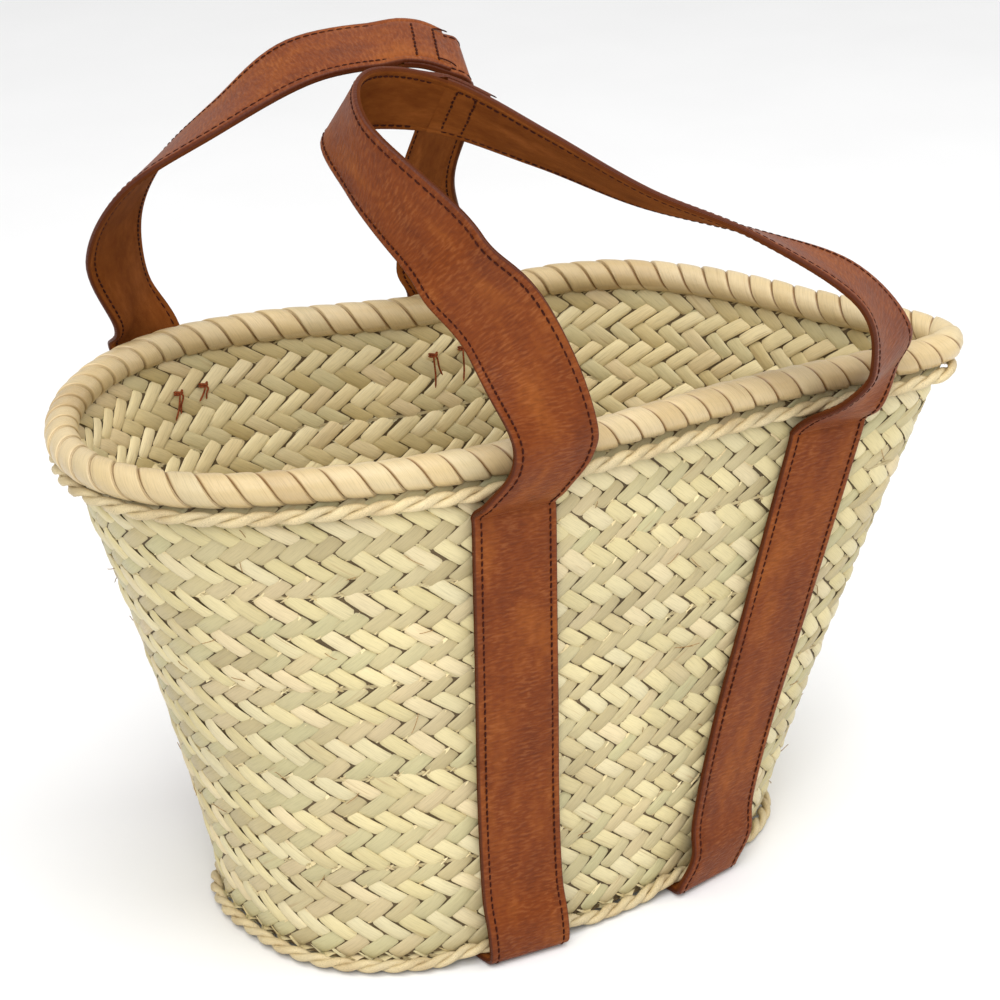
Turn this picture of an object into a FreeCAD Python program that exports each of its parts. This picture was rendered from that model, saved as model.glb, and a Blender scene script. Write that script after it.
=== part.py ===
import FreeCAD, Part
import math
import os

from FreeCAD import Vector

# Woven market basket: an oval palm-leaf body with a wrapped rim, carried by two
# leather straps.  Each strap runs from one handle's crown splice down the front
# wall, under the base and up the back wall to the other handle's crown splice.
# Millimetres, +Z up, +X along the mouth, front wall towards -Y, origin on the
# floor under the middle of the base.

doc = FreeCAD.newDocument("market_basket")

# ---------------------------------------------------------------- driving sizes
SIZES = [
    ("base_half_length", 162),
    ("base_half_width", 101),
    ("base_level", 4.2),
    ("base_thickness", 5),
    ("rim_level", 285),
    ("wall_thickness", 5),
    ("seam_height", 1.6),
    ("seam_width", 2.4),
    ("roll_radius", 8.6),
    ("core_radius", 6.2),
    ("rim_cord_radius", 4.3),
    ("base_cord_radius", 3.6),
    ("base_cord_level", 8),
    ("strap_width", 48),
    ("leather_thickness", 1.9),
    ("glue_gap", 0.1),
    ("stitch_inset", 4),
    ("thread_width", 0.9),
    ("tack_height", 259),
    ("fold_gap", 0.6),
    ("clearance", 0.3),
    ("cord_gap", 0.9),
    ("crown_gap", 0.4),
    ("tie_radius", 1.6),
]
sheet = doc.addObject("Spreadsheet::Sheet", "sizes")
for row, (alias, value) in enumerate(SIZES, start=1):
    sheet.set(f"A{row}", alias)
    sheet.set(f"B{row}", str(value))
    sheet.setAlias(f"B{row}", alias)
doc.recompute()
S = {alias: float(getattr(sheet, alias)) for alias, _ in SIZES}

half_wall = S["wall_thickness"] / 2
floor_top = S["base_level"] + S["base_thickness"]
strap_half = S["leather_thickness"] + S["glue_gap"] / 2

# ------------------------------------------------------------ shape of the wall
# The mouth in plan, on the middle of the roll.  It is a soft oval: the front is
# nearly straight, the front right corner is pinched, and the back dips a little
# beside the right-hand strap.
MOUTH = [
    (-235, 3), (-213, -37), (-158, -71), (-78, -95), (12, -101), (102, -100),
    (187, -109), (236, -104), (224, -36), (197, 45), (157, 98), (102, 115),
    (37, 113), (-38, 139), (-118, 150), (-193, 110),
]
BASE_SQUARENESS = 2.6
BASE_TURN = math.radians(3)
LENGTH_FLARE = 1.3   # the ends lean out faster near the mouth
WIDTH_FLARE = 0.75   # the long sides lean out faster near the base
SAG_TOP = (34, 82)     # half sizes of the sag where it leaves the base's level
SAG_BOTTOM = (26, 64)  # and where it lies on the floor
RING_POINTS = 40
FINE_POINTS = 1440


def spline_edge(points):
    """A closed smooth edge through the points."""
    curve = Part.BSplineCurve()
    curve.interpolate(Points=points, PeriodicFlag=True)
    return curve.toShape()


def even_loop(points):
    """Points evenly spaced along a closed chain, starting at its lowest x."""
    count = len(points)
    first = min(range(count), key=lambda i: points[i].x)
    loop = points[first:] + points[:first] + [points[first]]
    lengths = [0.0]
    for a, b in zip(loop, loop[1:]):
        lengths.append(lengths[-1] + a.distanceToPoint(b))
    even, j = [], 0
    for i in range(FINE_POINTS):
        want = lengths[-1] * i / FINE_POINTS
        while lengths[j + 1] < want:
            j += 1
        share = (want - lengths[j]) / (lengths[j + 1] - lengths[j])
        even.append(loop[j] + (loop[j + 1] - loop[j]) * share)
    return even


def mouth_loop():
    edge = spline_edge([Vector(x, y, 0) for x, y in MOUTH])
    return even_loop(edge.discretize(FINE_POINTS + 1)[:-1])


def base_loop():
    """A squared ellipse, turned a few degrees from the mouth's long axis."""
    points = []
    for i in range(FINE_POINTS):
        a = 2 * math.pi * i / FINE_POINTS
        c, s = math.cos(a), math.sin(a)
        x = S["base_half_length"] * math.copysign(abs(c) ** (2 / BASE_SQUARENESS), c)
        y = S["base_half_width"] * math.copysign(abs(s) ** (2 / BASE_SQUARENESS), s)
        points.append(Vector(x * math.cos(BASE_TURN) - y * math.sin(BASE_TURN),
                             x * math.sin(BASE_TURN) + y * math.cos(BASE_TURN), 0))
    return even_loop(points)


mouth = mouth_loop()
base = base_loop()


def wall_loop(z):
    """The middle of the wall at height z, all the way round."""
    rise = max(0.0, (z - S["base_level"]) / (S["rim_level"] - S["base_level"]))
    along, across = min(rise, 1.0) ** LENGTH_FLARE, min(rise, 1.0) ** WIDTH_FLARE
    return [Vector(b.x + (m.x - b.x) * along, b.y + (m.y - b.y) * across, z)
            for b, m in zip(base, mouth)]


def ring_edge(z_wall, outward, z):
    """A closed edge that stands off the wall's middle by `outward`."""
    loop = wall_loop(z_wall)
    step = FINE_POINTS // RING_POINTS
    reach = step // 3
    points = []
    for i in range(0, FINE_POINTS, step):
        along = loop[(i + reach) % FINE_POINTS] - loop[i - reach]
        normal = Vector(along.y, -along.x, 0).normalize()
        points.append(Vector(loop[i].x + normal.x * outward,
                             loop[i].y + normal.y * outward, z))
    return spline_edge(points)


def ring_solid(section):
    """A closed ring whose section is a polygon of (wall height, outward, z)."""
    edges = [ring_edge(*corner) for corner in section]
    faces = [Part.makeRuledSurface(a, b) for a, b in zip(edges, edges[1:] + edges[:1])]
    shell = Part.makeShell(faces)
    shell.sewShape()
    solid = Part.makeSolid(shell)
    if solid.Volume < 0:
        solid.reverse()
    return solid


def round_ring(z_wall, outward, z, radius, sides=12):
    """A cord round the basket; flat at the bottom so that it can sit on an edge."""
    flat = math.pi / sides
    corner_radius = radius / math.cos(flat)
    section = []
    for i in range(sides):
        a = 2 * math.pi * i / sides - math.pi / 2 + flat
        section.append((z_wall, outward + corner_radius * math.cos(a),
                        z + corner_radius * math.sin(a)))
    return section


def tube_ring(section, hollow):
    return ring_solid(section).cut(ring_solid(hollow))


# ------------------------------------------------------------------- the nodes
parts = []


def add_shape(label, shape):
    item = doc.addObject("Part::Feature", label)
    item.Label = label
    item.Shape = shape
    parts.append(item)
    return item


def sag_outline(half_length, half_width, z):
    """An oval round the origin; its long way is along Y, between the straps."""
    axes = Vector(0, half_width, z), Vector(half_length, 0, z), Vector(0, 0, z)
    return Part.Wire([Part.Ellipse(*axes).toShape()])


def add_basket_body():
    """Base, five courses of plait, the twine between them, rim and base cord."""
    outline = ring_edge(S["base_level"], half_wall, S["base_level"])
    slab = Part.Face(Part.Wire([outline])).extrude(Vector(0, 0, S["base_thickness"]))
    # between the straps the soft base sags until it rests on the floor
    sag = Part.makeLoft([sag_outline(*SAG_TOP, S["base_level"] + 1),
                         sag_outline(*SAG_BOTTOM, 0)], True)
    add_shape("base_plait", slab.fuse(sag).removeSplitter())

    wall_top = S["rim_level"] - S["roll_radius"]
    courses = 5
    course_height = (wall_top - floor_top - (courses - 1) * S["seam_height"]) / courses
    twine = []
    z = floor_top
    for number in range(1, courses + 1):
        top = z + course_height
        middle = (z + top) / 2
        section = [(z, half_wall, z), (middle, half_wall, middle), (top, half_wall, top),
                   (top, -half_wall, top), (middle, -half_wall, middle), (z, -half_wall, z)]
        add_shape(f"wall_course_{number}", ring_solid(section))
        z = top + S["seam_height"]
        if number < courses:
            reach = S["seam_width"] / 2
            twine.append(ring_solid([(top, reach, top), (z, reach, z),
                                     (z, -reach, z), (top, -reach, top)]))
    add_shape("seam_twine", Part.makeCompound(twine))

    rim = S["rim_level"]
    roll = round_ring(rim, 0, rim, S["roll_radius"])
    hollow = round_ring(rim, 0, rim, S["core_radius"] + S["clearance"])
    add_shape("rim_wrap", tube_ring(roll, hollow))
    add_shape("rim_core", ring_solid(round_ring(rim, 0, rim, S["core_radius"])))

    cord_z = rim - S["roll_radius"] - S["rim_cord_radius"] - S["clearance"]
    cord_out = half_wall + S["rim_cord_radius"] + S["cord_gap"]
    add_shape("rim_cord", ring_solid(
        round_ring(cord_z, cord_out, cord_z, S["rim_cord_radius"], 8)))
    low_z = S["base_cord_level"]
    low_out = half_wall + S["base_cord_radius"] + S["cord_gap"]
    add_shape("base_cord", ring_solid(
        round_ring(low_z, low_out, low_z, S["base_cord_radius"], 8)))


# ------------------------------------------------------------------ the leather
def wall_at(x, z, side):
    """The wall's middle and its unit tangent at this x, on the front or back."""
    loop = [p for p in wall_loop(z) if p.y * side > 0]
    nearest = sorted(loop, key=lambda p: abs(p.x - x))[:2]
    a, b = sorted(nearest, key=lambda p: p.x)
    far = [p for p in loop if abs(p.x - x) < S["strap_width"] / 2]
    left, right = min(far, key=lambda p: p.x), max(far, key=lambda p: p.x)
    tangent = Vector(right.x - left.x, right.y - left.y, 0).normalize()
    return Vector(x, (a.y + b.y) / 2, z), tangent


def smooth(values, share):
    """Catmull-Rom value between the middle two of four."""
    a, b, c, d = values
    t = share
    return (b * 2 + (c - a) * t + (a * 2 - b * 5 + c * 4 - d) * t ** 2
            + (b * 3 - a - c * 3 + d) * t ** 3) * 0.5


def refine(stations, steps, beyond):
    """Adds smooth stations between the given (middle, width direction) pairs."""
    ends = [stations[0]] + stations + [beyond]
    fine = []
    for i in range(len(stations) - 1):
        window = ends[i:i + 4]
        for k in range(steps):
            middle = smooth([w[0] for w in window], k / steps)
            across = smooth([w[1] for w in window], k / steps)
            fine.append((middle, across.normalize()))
    fine.append((stations[-1][0], Vector(stations[-1][1]).normalize()))
    return fine


def frames(stations):
    """Adds the outward normal: it is across x along, the grain side's normal."""
    result = []
    for i, (middle, across) in enumerate(stations):
        before = stations[max(i - 1, 0)][0]
        after = stations[min(i + 1, len(stations) - 1)][0]
        along = (after - before).normalize()
        normal = across.cross(along).normalize()
        result.append((middle, across, normal))
    return result


def ribbon(framed, low, high, left, right):
    """A strip of leather or thread: its section is low..high by left..right."""
    wires = []
    for middle, across, normal in framed:
        corners = [middle + across * w + normal * n
                   for w, n in ((left, low), (right, low), (right, high), (left, high))]
        wires.append(Part.makePolygon(corners + corners[:1]))
    return Part.makeLoft(wires, True, True)


def leather_layers(name, framed):
    """A grain-side strip and its lining, sewn back to back."""
    half = S["strap_width"] / 2
    add_shape(f"{name}_outer", ribbon(framed, S["glue_gap"] / 2, strap_half, -half, half))
    add_shape(f"{name}_lining", ribbon(framed, -strap_half, -S["glue_gap"] / 2, -half, half))


def edge_threads(runs):
    """Two rows of stitching lie on the grain side of each run, as thin lines."""
    lines = []
    row = S["strap_width"] / 2 - S["stitch_inset"]
    low = strap_half + S["glue_gap"]
    high = low + S["thread_width"] / 2
    for framed in runs:
        for place in (-row, row):
            lines.append(ribbon(framed, low, high, place - S["thread_width"] / 2,
                                place + S["thread_width"] / 2))
    return Part.makeCompound(lines)


# Where each strap's middle crosses the base's edge and its tack under the rim, in x.
BASE_X = {"front_left": -57, "front_right": 70, "back_left": -66, "back_right": 62}
TACK_X = {"front_left": -57, "front_right": 147, "back_left": -114, "back_right": 50}
# height, and how far the strap's middle stands off the wall's middle
STANDOFF = [(22, 13.4), (42, 8), (90, 5.6), (150, 5.6), (205, 5.6), (251, 5.6), (259, 5.6)]
# the wall hollows a little behind this strap, so the strap bridges the hollow
BRIDGING = {"front_left": 0, "front_right": 0.3, "back_left": 0.3, "back_right": 2.2}


def outward(tangent, side):
    """The wall's level normal, away from the basket's inside."""
    return Vector(-tangent.y, tangent.x, 0) * side


# Stations of each handle from its left tack to its right one: the middle of the
# strap and the direction of its right-hand edge, seen from the grain side with
# the strap running away.  It folds at the second station from each end, where it
# leaves the rim, and its halves meet at the crown station.
FRONT_HANDLE = [
    ((-57, -114.5, 269), (1, -0.08, 0)),
    ((-47, -123, 288), (1, -0.06, 0)),
    ((-49, -124, 311), (0.97, -0.2, 0.03)),
    ((-67, -110, 362), (0.65, -0.47, 0.6)),
    ((-86, -99, 388), (0.42, -0.62, 0.66)),
    ((-91, -85, 403), (0.32, -0.63, 0.71)),
    ((-108, -45, 438), (-0.04, -0.42, 0.91)),
    ((-87, -2, 453), (0.19, -0.57, 0.80)),
    ((-34, -4, 444), (-0.15, -0.67, 0.73)),
    ((8, -38, 421), (-0.33, -0.75, 0.57)),
    ((48, -73, 396), (-0.44, -0.79, 0.42)),
    ((92, -108, 377), (-0.53, -0.82, 0.24)),
    ((136, -139, 349), (-0.55, -0.82, -0.17)),
    ((159, -143, 310), (-0.86, -0.42, -0.26)),
    ((155, -133, 287), (-0.94, -0.25, -0.2)),
    ((148, -121, 269), (-1, 0.1, 0)),
]
BACK_HANDLE = [
    ((-116, 163, 269), (-0.985, -0.17, 0)),
    ((-120, 167, 288), (-0.98, -0.15, -0.05)),
    ((-131, 158, 312), (-0.72, -0.58, -0.36)),
    ((-149, 140, 357), (-0.88, -0.33, -0.35)),
    ((-148, 106, 400), (-0.84, -0.53, -0.15)),
    ((-121, 74, 434), (-0.51, -0.86, -0.06)),
    ((-77, 58, 461), (-0.22, -0.96, -0.18)),
    ((-24, 45, 464), (-0.46, -0.87, -0.2)),
    ((-4, 33, 458), (-0.45, -0.87, -0.18)),
    ((6, 31, 449), (-0.4, -0.9, -0.17)),
    ((3, 46, 415), (0, -0.97, 0.2)),
    ((11, 76, 372), (0.1, -0.97, 0.2)),
    ((41, 112, 317), (0.55, -0.83, 0.06)),
    ((55, 130, 288), (0.97, 0.1, -0.1)),
    ((52, 128, 269), (1, -0.06, 0)),
]
HANDLES = {"front": FRONT_HANDLE, "back": BACK_HANDLE}
CROWN = {"front": 8, "back": 7}
FOLD = 1
STEPS = 2


def wall_stations(corner):
    """Stations of one strap from the floor up to its tack under the rim."""
    side = -1 if corner.startswith("front") else 1
    low_x, high_x = BASE_X[corner], TACK_X[corner]
    stations = []
    for z, off in STANDOFF:
        x = low_x + (high_x - low_x) * z / S["tack_height"]
        middle, tangent = wall_at(x, z, side)
        off += BRIDGING[corner] * min(1, z / 150)
        # the grain side faces outwards, and the run goes up
        stations.append((middle + outward(tangent, side) * off, tangent * -side))
    foot = Vector(low_x, stations[0][0].y, 2 * strap_half + S["fold_gap"])
    return [(foot, stations[0][1])] + stations


def strap_runs(corner):
    """One strap from the floor to its crown splice, cut in two at the fold."""
    side, hand = corner.split("_")
    stations = [(Vector(*middle), Vector(*across)) for middle, across in HANDLES[side]]
    crown = CROWN[side]
    if hand == "right":
        stations = [(middle, across * -1) for middle, across in stations[::-1]]
        crown = len(stations) - 1 - crown
    wall = wall_stations(corner)
    path = wall + stations[:crown + 1]
    framed = frames(refine(path, STEPS, stations[crown + 1]))
    fold = (len(wall) + FOLD) * STEPS
    middle, across, normal = framed[fold]
    along = normal.cross(across)
    start = (middle + along * S["fold_gap"], across, normal)
    middle, across, normal = framed[-1]
    along = normal.cross(across)
    end = (middle - along * S["crown_gap"], across, normal)
    return framed[:fold + 1], [start] + framed[fold + 1:-1] + [end]


RUNS = {corner: strap_runs(corner) for corner in BASE_X}


def add_straps():
    """Each strap's front run, the flat run under the base, and its back run."""
    for hand in ("left", "right"):
        wall_runs = [RUNS[f"{side}_{hand}"][0] for side in ("front", "back")]
        for side, framed in zip(("front", "back"), wall_runs):
            leather_layers(f"{hand}_strap_{side}", framed)
        low, high = (framed[0][0].y for framed in wall_runs)
        half = S["strap_width"] / 2
        middle_x = (BASE_X[f"front_{hand}"] + BASE_X[f"back_{hand}"]) / 2
        for layer, bottom in (("outer", 0.0), ("lining", S["leather_thickness"] + S["glue_gap"])):
            plate = doc.addObject("Part::Box", f"{hand}_strap_base_{layer}")
            plate.Label = f"{hand}_strap_base_{layer}"
            plate.setExpression("Width", f"{high - low:.3f} + 2 * sizes.leather_thickness")
            plate.setExpression("Length", "sizes.strap_width")
            plate.setExpression("Height", "sizes.leather_thickness")
            plate.Placement.Base = Vector(middle_x - half, low - S["leather_thickness"], bottom)
            parts.append(plate)
        add_shape(f"{hand}_strap_thread", edge_threads(wall_runs))


def add_handle(side):
    """The two halves of a handle, their edge stitching and the crown splice's."""
    halves = {hand: RUNS[f"{side}_{hand}"][1] for hand in ("left", "right")}
    for hand, framed in halves.items():
        leather_layers(f"{side}_handle_{hand}", framed)
    add_shape(f"{side}_handle_thread", edge_threads(halves.values()))
    middle, across, normal = halves["left"][-1]
    along = normal.cross(across)
    row = S["strap_width"] / 2 - S["stitch_inset"]
    start = middle - along * 5 + normal * (strap_half + 2 * S["thread_width"])
    thread = Part.makeBox(2 * row, S["thread_width"], S["thread_width"] / 2)
    thread.Placement = FreeCAD.Placement(FreeCAD.Matrix(
        across.x, along.x, normal.x, 0, across.y, along.y, normal.y, 0,
        across.z, along.z, normal.z, 0, 0, 0, 0, 1))
    thread.Placement.Base = start - across * row
    add_shape(f"{side}_splice_thread", thread)


# along the wall, how far each corner's knots are from its tack's middle
TIE_PLACES = {"front_left": (-15, 15), "front_right": (-15, 15),
              "back_left": (0, 18), "back_right": (-15, 5)}


def add_ties():
    """Knots of thread inside the wall hold each strap's tack."""
    for corner, x in TACK_X.items():
        side = -1 if corner.startswith("front") else 1
        middle, tangent = wall_at(x, S["tack_height"], side)
        knots = []
        for place in TIE_PLACES[corner]:
            inward = half_wall + 2 * S["tie_radius"]
            at = middle + tangent * place - outward(tangent, side) * inward
            knots.append(Part.makeSphere(S["tie_radius"], at))
        add_shape(f"{corner}_tie", Part.makeCompound(knots))


add_basket_body()
add_straps()
add_handle("front")
add_handle("back")
add_ties()
doc.recompute()

os.makedirs("parts", exist_ok=True)
for item in doc.Objects:
    if "Invalid" in item.State or "Error" in item.State:
        raise RuntimeError(f"{item.Label} did not recompute")
for item in parts:
    if item.Shape.isNull() or not item.Shape.isValid() or item.Shape.Volume <= 0:
        raise RuntimeError(f"{item.Label} has no valid solid")
    item.Shape.exportStep(f"parts/{item.Label}.step")
for corner, (fixed, moving) in RUNS.items():
    print(corner, "folds above", fixed[-1][0])
print(len(parts), "nodes")
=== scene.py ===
import math

import bmesh
import bpy
import numpy as np
from mathutils import Matrix, Vector


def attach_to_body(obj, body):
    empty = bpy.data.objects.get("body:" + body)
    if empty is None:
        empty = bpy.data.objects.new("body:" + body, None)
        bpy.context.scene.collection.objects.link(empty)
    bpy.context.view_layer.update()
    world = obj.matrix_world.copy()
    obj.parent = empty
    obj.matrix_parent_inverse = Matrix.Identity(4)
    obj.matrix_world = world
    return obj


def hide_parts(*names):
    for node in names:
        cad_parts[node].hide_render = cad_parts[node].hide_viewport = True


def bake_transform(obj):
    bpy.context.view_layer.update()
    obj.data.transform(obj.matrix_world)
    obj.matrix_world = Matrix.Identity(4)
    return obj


# A woven palm-leaf market basket with leather handles.  Lengths are in
# millimetres until a mesh is made; +Z is up and the front wall is towards -Y.
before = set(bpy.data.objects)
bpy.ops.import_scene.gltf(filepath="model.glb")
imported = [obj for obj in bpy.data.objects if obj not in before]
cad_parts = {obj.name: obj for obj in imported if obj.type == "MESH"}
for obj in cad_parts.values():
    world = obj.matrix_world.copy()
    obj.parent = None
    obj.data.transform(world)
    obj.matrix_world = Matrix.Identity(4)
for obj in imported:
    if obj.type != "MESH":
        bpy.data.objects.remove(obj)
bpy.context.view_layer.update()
MM = 0.001

# ------------------------------------------------------------ sizes, as in the CAD
BASE_HALF_LENGTH, BASE_HALF_WIDTH = 162, 101
BASE_SQUARENESS, BASE_TURN = 2.6, math.radians(3)
BASE_LEVEL, FLOOR_TOP, RIM_LEVEL = 4.2, 9.2, 285
LENGTH_FLARE, WIDTH_FLARE = 1.3, 0.75
ROLL_RADIUS = 8.6
STRAP_HALF_WIDTH = 24
TACK_HEIGHT, STITCH_ROW = 259, 20
MOUTH = [
    (-235, 3), (-213, -37), (-158, -71), (-78, -95), (12, -101), (102, -100),
    (187, -109), (236, -104), (224, -36), (197, 45), (157, 98), (102, 115),
    (37, 113), (-38, 139), (-118, 150), (-193, 110),
]
FINE = 1440        # points round a loop of the wall
COURSES = 5
WALL_TOP = RIM_LEVEL - ROLL_RADIUS


# -------------------------------------------------------------- shape of the wall
def closed_spline(points, per_span=90):
    """Points along the smooth closed curve through the given ones."""
    knots = np.array(points, float)
    step = np.roll(knots, -1, 0) - knots
    span = np.linalg.norm(step, axis=1)
    slope = step / span[:, None]
    count = len(knots)
    system = np.zeros((count, count))
    for i in range(count):
        system[i, i - 1] += span[i - 1]
        system[i, i] += 2 * (span[i - 1] + span[i])
        system[i, (i + 1) % count] += span[i]
    bend = np.linalg.solve(system, 6 * (slope - np.roll(slope, 1, 0)))
    after = np.roll(bend, -1, 0)
    t = (np.arange(per_span) / per_span)[None, :, None] * span[:, None, None]
    rate = slope - span[:, None] * (2 * bend + after) / 6
    curve = (knots[:, None] + rate[:, None] * t + bend[:, None] * t ** 2 / 2
             + ((after - bend) / span[:, None])[:, None] * t ** 3 / 6)
    return curve.reshape(-1, 2)


def even_loop(points):
    """FINE points evenly spaced along a closed chain, from its lowest x."""
    loop = np.roll(points, -int(np.argmin(points[:, 0])), 0)
    loop = np.vstack([loop, loop[:1]])
    lengths = np.concatenate([[0], np.cumsum(np.linalg.norm(np.diff(loop, axis=0), axis=1))])
    want = np.arange(FINE) / FINE * lengths[-1]
    return np.stack([np.interp(want, lengths, loop[:, k]) for k in (0, 1)], -1)


def squared_ellipse():
    """The base's outline: an ellipse drawn out towards its corners."""
    a = 2 * math.pi * np.arange(FINE) / FINE
    power = 2 / BASE_SQUARENESS
    x = BASE_HALF_LENGTH * np.sign(np.cos(a)) * np.abs(np.cos(a)) ** power
    y = BASE_HALF_WIDTH * np.sign(np.sin(a)) * np.abs(np.sin(a)) ** power
    c, s = math.cos(BASE_TURN), math.sin(BASE_TURN)
    return np.stack([x * c - y * s, x * s + y * c], -1)


MOUTH_LOOP = even_loop(closed_spline(MOUTH))
BASE_LOOP = even_loop(squared_ellipse())


def around(loop, u):
    """Points at the fractions u of a loop."""
    place = (np.asarray(u) % 1) * FINE
    first = np.floor(place).astype(int) % FINE
    share = (place - np.floor(place))[..., None]
    return loop[first] * (1 - share) + loop[(first + 1) % FINE] * share


def wall_plan(u, z):
    """The middle of the wall in plan."""
    rise = np.clip((np.asarray(z) - BASE_LEVEL) / (RIM_LEVEL - BASE_LEVEL), 0, 1)
    low, high = around(BASE_LOOP, u), around(MOUTH_LOOP, u)
    return low + (high - low) * np.stack([rise ** LENGTH_FLARE, rise ** WIDTH_FLARE], -1)


def level_normal(u, z):
    """The wall's outward direction in plan."""
    tangent = wall_plan(u + 0.004, z) - wall_plan(u - 0.004, z)
    normal = np.stack([tangent[..., 1], -tangent[..., 0]], -1)
    return normal / np.linalg.norm(normal, axis=-1, keepdims=True)


def wall_surface(u, z, off):
    """Points that stand `off` from the wall's middle, along its leaning normal."""
    u, z, off = np.broadcast_arrays(u, z, off)
    plan, normal = wall_plan(u, z), level_normal(u, z)
    lean = ((wall_plan(u, z + 2) - wall_plan(u, z - 2)) * normal).sum(-1) / 4
    scale = off / np.sqrt(1 + lean ** 2)
    return np.concatenate([plan + normal * scale[..., None], (z - lean * scale)[..., None]], -1)


def ring_surface(u, z_wall, out, z):
    """Points a level distance `out` from the wall's middle at z_wall, at height z."""
    u, out, z = np.broadcast_arrays(u, out, z)
    height = np.full(u.shape, float(z_wall))
    plan = wall_plan(u, height) + level_normal(u, height) * out[..., None]
    return np.concatenate([plan, z[..., None]], -1)


def loop_length(z):
    """The length once round the wall at a height."""
    loop = wall_plan(np.arange(FINE) / FINE, np.full(FINE, float(z)))
    return np.linalg.norm(np.roll(loop, -1, 0) - loop, axis=1).sum()


# ------------------------------------------------------------------- mesh building
def add_mesh(name, points, faces, materials, which=None, leaf=None, sharp=50):
    """A closed, smooth mesh object with outward faces.  leaf is a vector per point."""
    mesh = bpy.data.meshes.new(name)
    mesh.from_pydata((points * MM).tolist(), [], faces)
    for material in materials:
        mesh.materials.append(material)
    if which is not None:
        mesh.polygons.foreach_set("material_index", np.asarray(which, np.int32))
    if leaf is not None:
        attribute = mesh.attributes.new("leaf", "FLOAT_VECTOR", "POINT")
        attribute.data.foreach_set("vector", np.ascontiguousarray(leaf, np.float32).ravel())
    work = bmesh.new()
    work.from_mesh(mesh)
    bmesh.ops.recalc_face_normals(work, faces=work.faces)
    work.to_mesh(mesh)
    work.free()
    mesh.shade_smooth()
    mesh.set_sharp_from_angle(angle=math.radians(sharp))
    item = bpy.data.objects.new(name, mesh)
    bpy.context.scene.collection.objects.link(item)
    return item


def strips(rings):
    """Points and faces of capped strips, from rings shaped (strips, rings, points, 3)."""
    index = np.arange(rings[..., 0].size).reshape(rings.shape[:3])
    low, high = index[:, :-1], index[:, 1:]
    quads = np.stack([low, np.roll(low, -1, 2), np.roll(high, -1, 2), high], -1)
    faces = quads.reshape(-1, 4).tolist()
    faces += index[:, 0, ::-1].tolist() + index[:, -1].tolist()
    return rings.reshape(-1, 3), faces


def loops(rings, shift=0):
    """Points and faces of endless tubes, from rings shaped (tubes, rings, points, 3).
    Each tube's last column of points meets its first one `shift` rings back."""
    index = np.arange(rings[..., 0].size).reshape(rings.shape[:3])
    side = np.concatenate([index[:, :, 1:], np.roll(index[:, :, :1], shift, 1)], 2)
    quads = np.stack([index, side, np.roll(side, -1, 1), np.roll(index, -1, 1)], -1)
    return rings.reshape(-1, 3), quads.reshape(-1, 4).tolist()


def joined(parts):
    """Several (points, faces, leaf, material number) as one set for add_mesh."""
    points, faces, leaf, which, start = [], [], [], [], 0
    for part_points, part_faces, part_leaf, number in parts:
        points.append(part_points)
        leaf.append(part_leaf.reshape(-1, 3))
        faces += [[i + start for i in face] for face in part_faces]
        which += [number] * len(part_faces)
        start += len(part_points)
    return np.concatenate(points), faces, which, np.concatenate(leaf)


def tube(path, radius, sides=7):
    """Rings of one thin tube along a path, with rounded ends."""
    path = np.array(path, float)
    along = np.gradient(path, axis=0)
    along /= np.linalg.norm(along, axis=1, keepdims=True)
    guide = np.array([0.31, 0.52, 0.79])
    side = np.cross(along, guide)
    side /= np.linalg.norm(side, axis=1, keepdims=True)
    up = np.cross(along, side)
    size = np.full(len(path), float(radius))
    size[[0, -1]] *= 0.45
    a = 2 * math.pi * np.arange(sides) / sides
    return (path[:, None] + (side[:, None] * np.cos(a)[:, None]
            + up[:, None] * np.sin(a)[:, None]) * size[:, None, None])[None]


def through(table, i, f):
    """Points on the smooth curve through a table's rows, a share f past row i + 1."""
    a, b, c, d = (table[i + k] for k in range(4))
    return (b * 2 + (c - a) * f + (a * 2 - b * 5 + c * 4 - d) * f ** 2
            + (b * 3 - a - c * 3 + d) * f ** 3) * 0.5


def eased(share):
    """A share from 0 to 1 with a soft start and end."""
    return share * share * (3 - 2 * share)


def arc_path(points, count):
    """count points on a smooth open curve through a few given ones."""
    p = np.array(points, float)
    p = np.vstack([2 * p[0] - p[1], p, 2 * p[-1] - p[-2]])
    t = np.linspace(0, len(p) - 3 - 1e-6, count)
    return through(p, np.floor(t).astype(int), (t - np.floor(t))[:, None])


# ----------------------------------------------------------------------- materials
# The "leaf" attribute is a place in mm across and along a leaf or strap, and a tint.
BAND_SHADE = 15.0     # mm across a rim band
STRAP_SHADE = 25.0    # mm from a strap's middle to just past its edge


def shader(name, roughness, gloss=0.5, coat=0.0):
    material = bpy.data.materials.new(name)
    material.use_nodes = True
    tree = material.node_tree
    principled = tree.nodes["Principled BSDF"]
    principled.inputs["Roughness"].default_value = roughness
    principled.inputs["Specular IOR Level"].default_value = gloss
    principled.inputs["Coat Weight"].default_value = coat
    principled.inputs["Coat Roughness"].default_value = 0.35
    return material, tree, principled


def node(tree, kind, inputs=(), **settings):
    """A node with its settings and inputs; an input is a value or a socket."""
    item = tree.nodes.new(kind)
    for key, value in settings.items():
        setattr(item, key, value)
    for key, value in dict(inputs).items():
        if isinstance(value, bpy.types.NodeSocket):
            tree.links.new(value, item.inputs[key])
        else:
            item.inputs[key].default_value = value
    return item


def ramp(tree, factor, stops):
    """A colour ramp through (position, colour) stops; a colour may be one grey."""
    item = node(tree, "ShaderNodeValToRGB", {"Fac": factor})
    elements = item.color_ramp.elements
    while len(elements) < len(stops):
        elements.new(0.5)
    for element, (position, colour) in zip(elements, stops):
        rgb = colour if isinstance(colour, tuple) else (colour,) * 3
        element.position, element.color = position, (*rgb, 1)
    return item.outputs["Color"]


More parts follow.
